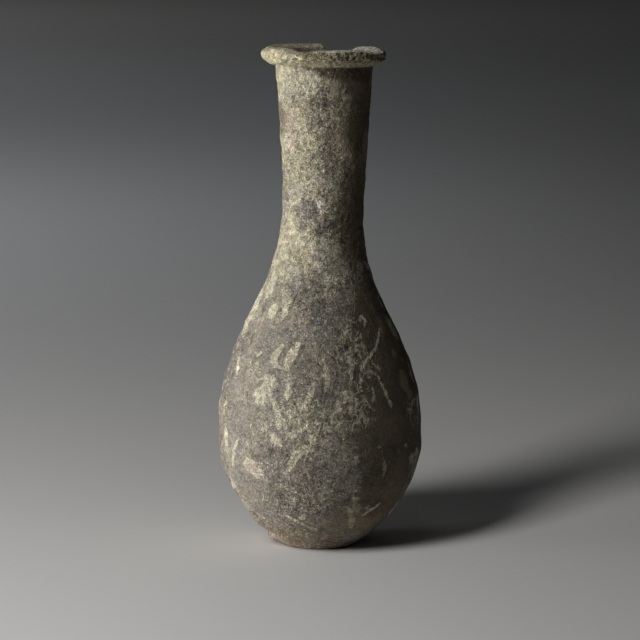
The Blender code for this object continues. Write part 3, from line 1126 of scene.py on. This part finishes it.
def fired_clay():
    material, tree, shader, place = new_material("fired_clay")
    smooth = tree.mask("smooth")
    open_clay = tree.scaled(tree.mask("crest"), -0.9, tree.mask("struck"))
    pitting = tree.scaled(open_clay, 1.4, tree.mask("pitted"))
    skin = tree.add(
        "Group",
        {"Place": place, "Pitting": pitting, "Smoothness": smooth},
        node_tree=sandy_skin(),
    ).outputs
    ragged = ragged_edge()

    def patch(cover, raggedness, softness):
        return tree.add(
            "Group",
            {"Place": place, "Cover": cover, "Raggedness": raggedness, "Softness": softness},
            node_tree=ragged,
        ).outputs["Mask"]

    def laid(colour, share, opacity, coat):
        """The colour under a coat, as thick as the share and the opacity make it."""
        return tree.blend(tree.times(share, opacity), colour, coat)

    broad = tree.noise(place, 9.0, 3.0, 0.55, 11.0)
    mottle = tree.noise(place, 2.6, 4.0, 0.62, 5.0)
    spots = tree.noise(place, 1.5, 3.0, 0.6, 12.0)
    clumps = tree.noise(place, 3.4, 3.0, 0.6, 14.0)
    bare = tree.fade(clumps, 0.40, 0.52)

    # The clay itself.
    clay = tree.blend(tree.edge(broad, 0.38, 0.62), MAUVE_CLAY, BROWN_CLAY)
    clay = laid(clay, tree.edge(mottle, 0.50, 0.66), 0.85, DARK_CLAY)
    clay = laid(clay, tree.mask("mauve"), 0.45, DARK_CLAY)
    clay = laid(clay, patch(tree.mask("rose"), 0.6, 0.15), 0.8, ROSE_CLAY)

    # The skin of lime and the films over it.
    crust = patch(tree.mask("crust"), 1.2, 0.09)
    body = tree.blend(tree.edge(spots, 0.42, 0.58), OLIVE_CRUST, CREAM_CRUST)
    body = laid(body, tree.edge(broad, 0.54, 0.64), 0.7, GREY_CRUST)
    colour = tree.blend(tree.times(crust, tree.mask("thick")), clay, body)
    colour = laid(colour, patch(tree.mask("olive"), 0.8, 0.22), 0.75, OLIVE_FILM)
    # Painted shade on the right side, away from the light, and brown soil elsewhere.
    colour = laid(colour, patch(tree.mask("soil_and_shade"), 0.5, 0.25), 0.88, SOIL_AND_SHADE_FILM)

    # The lime that stands out: threads, blobs, strokes and patches.
    threads = tree.add(
        "Group",
        {"Place": place, "Growth": tree.mask("network")},
        node_tree=lime_threads(),
    ).outputs["Mask"]
    colour = laid(colour, tree.times(tree.mask("network"), bare), 0.6, DARK_CLAY)
    growth = tree.scaled(tree.mask("network"), 0.45, -1.20)
    blobs = patch(tree.scaled(clumps, 2.4, growth), 0.5, 0.06)
    colour = laid(colour, blobs, 0.62, tree.blend(tree.edge(spots, 0.44, 0.56), OLIVE_CRUST, LIME))
    colour = laid(colour, threads, 0.42, LIME)
    stroke_cover = tree.scaled(tree.mask("stroke"), -0.40, 0.54)
    stroke = patch(stroke_cover, 0.56, 0.05)
    core = tree.fade(tree.mask("stroke"), -0.7, -0.15)
    worn = tree.scaled(tree.edge(spots, 0.38, 0.58), 0.5, 0.5)
    lime_colour = tree.blend(core, LIME, LIME_CORE)
    lime = tree.times(patch(tree.mask("lime"), 0.9, 0.07), 0.85)
    lime = tree.times(tree.math("MAXIMUM", stroke, lime), worn)
    colour = laid(colour, lime, 1.0, lime_colour)

    # Spots, then the breaks, the painted shadow under the rim, the dirt, and the inside painted
    # dark as shade.
    chalky = tree.blend(tree.edge(spots, 0.40, 0.60), WHITE_LIP, CREAM_CRUST)
    stain = tree.times(tree.mask("rust"), tree.edge(mottle, 0.35, 0.6))
    earth = tree.times(tree.mask("earth"), tree.edge(broad, 0.3, 0.6))
    for share, opacity, coat in (
        (patch(tree.mask("rose"), 0.9, 0.25), 0.42, ROSE_CLAY),
        (patch(tree.mask("yellow"), 0.9, 0.08), 0.85, YELLOW_LIME),
        (patch(tree.mask("chalk"), 1.1, 0.14), 0.8, CHALK),
        (tree.mask("broken"), 0.8, BREAK),
        (tree.mask("struck"), 0.45, STRUCK_CLAY),
        (tree.mask("underside"), 0.6, UNDERSIDE),
        # painted shadow under the rim
        (tree.mask("rim_shadow"), 0.9, RIM_SHADOW_COLOUR),
        # painted highlight along the struck lip's edge
        (tree.mask("arris_highlight"), 0.7, CHALK),
        (patch(tree.mask("crest"), 0.8, 0.2), 0.8, CHALK),
        (patch(tree.mask("white_lip"), 1.1, 0.30), 0.9, chalky),
        (stain, 0.75, RUST),
        (earth, 0.65, EARTH),
        (tree.mask("inside"), 0.9, HOLLOW_SHADE),
    ):
        colour = laid(colour, share, opacity, coat)

    # The grains.
    # The pale grains are thinned under the soil and the painted shade.
    free_of_soil_and_shade = tree.scaled(tree.mask("soil_and_shade"), -0.85, 1.0)
    pale = tree.times(skin["Pale"], tree.math("MAXIMUM", free_of_soil_and_shade, 0.0))
    colour = laid(colour, pale, 0.8, SAND)
    # Painted shade in the pits.
    colour = laid(colour, skin["Pits"], 0.75, HOLE)
    crack = tree.fade(tree.mask("crack"), 0.0, 0.22)
    colour = laid(colour, crack, 0.75, HOLE)
    colour = tree.blend(1.0, colour, skin["Tone"], "MULTIPLY")

    height = skin["Height"]  # in millimetres
    for layer, rise in ((crust, 0.05), (threads, 0.06), (blobs, 0.14), (lime, 0.20), (crack, -0.2)):
        height = tree.scaled(layer, rise, height)
    bump = tree.add("Bump", {"Height": height, "Strength": 1.0, "Distance": MM})
    tree.feed(shader["Base Color"], colour)
    tree.feed(shader["Normal"], bump.outputs["Normal"])
    roughness = tree.scaled(mottle, 0.12, 0.84)
    tree.feed(shader["Roughness"], tree.scaled(smooth, -0.22, roughness))
    shader["Specular IOR Level"].default_value = 0.25
    return material


def pale_floor():
    material, tree, shader, place = new_material("pale_floor")
    drift = tree.noise(place, 60.0, 3.0, 0.5, 21.0)
    tree.feed(shader["Base Color"], tree.blend(drift, PAPER, PALER_PAPER))
    shader["Roughness"].default_value = 0.9
    shader["Specular IOR Level"].default_value = 0.1
    return material


# ---------------------------------------------------------------------------------------------
# The studio.


def long_floor():
    """A flat floor that runs far back into the dark."""
    shape = bmesh.new()
    corners = ((-9.0, -3.0), (9.0, -3.0), (9.0, 12.0), (-9.0, 12.0))
    shape.faces.new([shape.verts.new((x, y, 0.0)) for x, y in corners])
    item = add_object("floor", finished(shape, "floor"))
    item.data.materials.append(pale_floor())
    return item


NEUTRAL = (1.0, 0.99, 0.975)
COOL = (0.95, 0.99, 1.03)
# Each light: name, place, what it points at, its two sides, power in watts, spread in degrees
# and colour.
LIGHTS = (
    ("key_light", (-0.310, -0.357, 0.419), (-0.144, 0.114, 0.0), 0.15, 0.25, 1.21, 142, NEUTRAL),
    ("low_card", (-0.60, -0.05, 0.010), (0.0, 0.0, 0.04), 0.20, 0.016, 3.8, 180, NEUTRAL),
    ("front_light", (-0.10, -0.35, 0.80), (-0.10, -0.35, 0.0), 0.20, 0.20, 0.09, 50, NEUTRAL),
    ("middle_light", (-0.50, 0.58, 0.84), (-0.78, 0.80, 0.0), 0.50, 0.50, 1.26, 121, COOL),
    ("back_light", (-1.07, 1.90, 1.08), (-0.70, 1.97, 0.0), 0.78, 0.78, 1.26, 149, COOL),
    ("far_light", (-2.41, 2.60, 1.77), (-1.68, 3.80, 0.0), 1.20, 1.20, 3.6, 96, NEUTRAL),
)


def area_light(name, place, target, width, depth, power, spread, colour):
    data = bpy.data.lights.new(name, "AREA")
    data.shape = "RECTANGLE"
    data.size, data.size_y = width, depth
    data.energy = power
    data.spread = math.radians(spread)
    data.color = colour
    item = add_object(name, data)
    item.location = place
    item.rotation_euler = (Vector(place) - Vector(target)).to_track_quat("Z", "Y").to_euler()
    item.visible_camera = False


def studio():
    for light in LIGHTS:
        area_light(*light)
    world = bpy.data.worlds.new("studio")
    world.use_nodes = True
    surround = world.node_tree.nodes["Background"]
    surround.inputs["Color"].default_value = rgb(1.0, 0.99, 0.98)
    surround.inputs["Strength"].default_value = 0.007
    bpy.context.scene.world = world


CAMERA_PLACE = (0.0, -0.75, 0.1817)
CAMERA_DIP = 8.89  # degrees below level
LENS_MM = 149.8
SENSOR_MM = 36.0


def camera():
    data = bpy.data.cameras.new("camera")
    data.lens = LENS_MM
    data.sensor_width = SENSOR_MM
    item = add_object("camera", data)
    item.location = CAMERA_PLACE
    item.rotation_euler = (math.radians(90 - CAMERA_DIP), 0, 0)
    bpy.context.scene.camera = item


camera()
studio()
long_floor()
bpy.context.scene.view_settings.view_transform = "Standard"

vessel = flask()
vessel.data.materials.append(fired_clay())
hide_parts("unguentarium")
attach(vessel, "root")
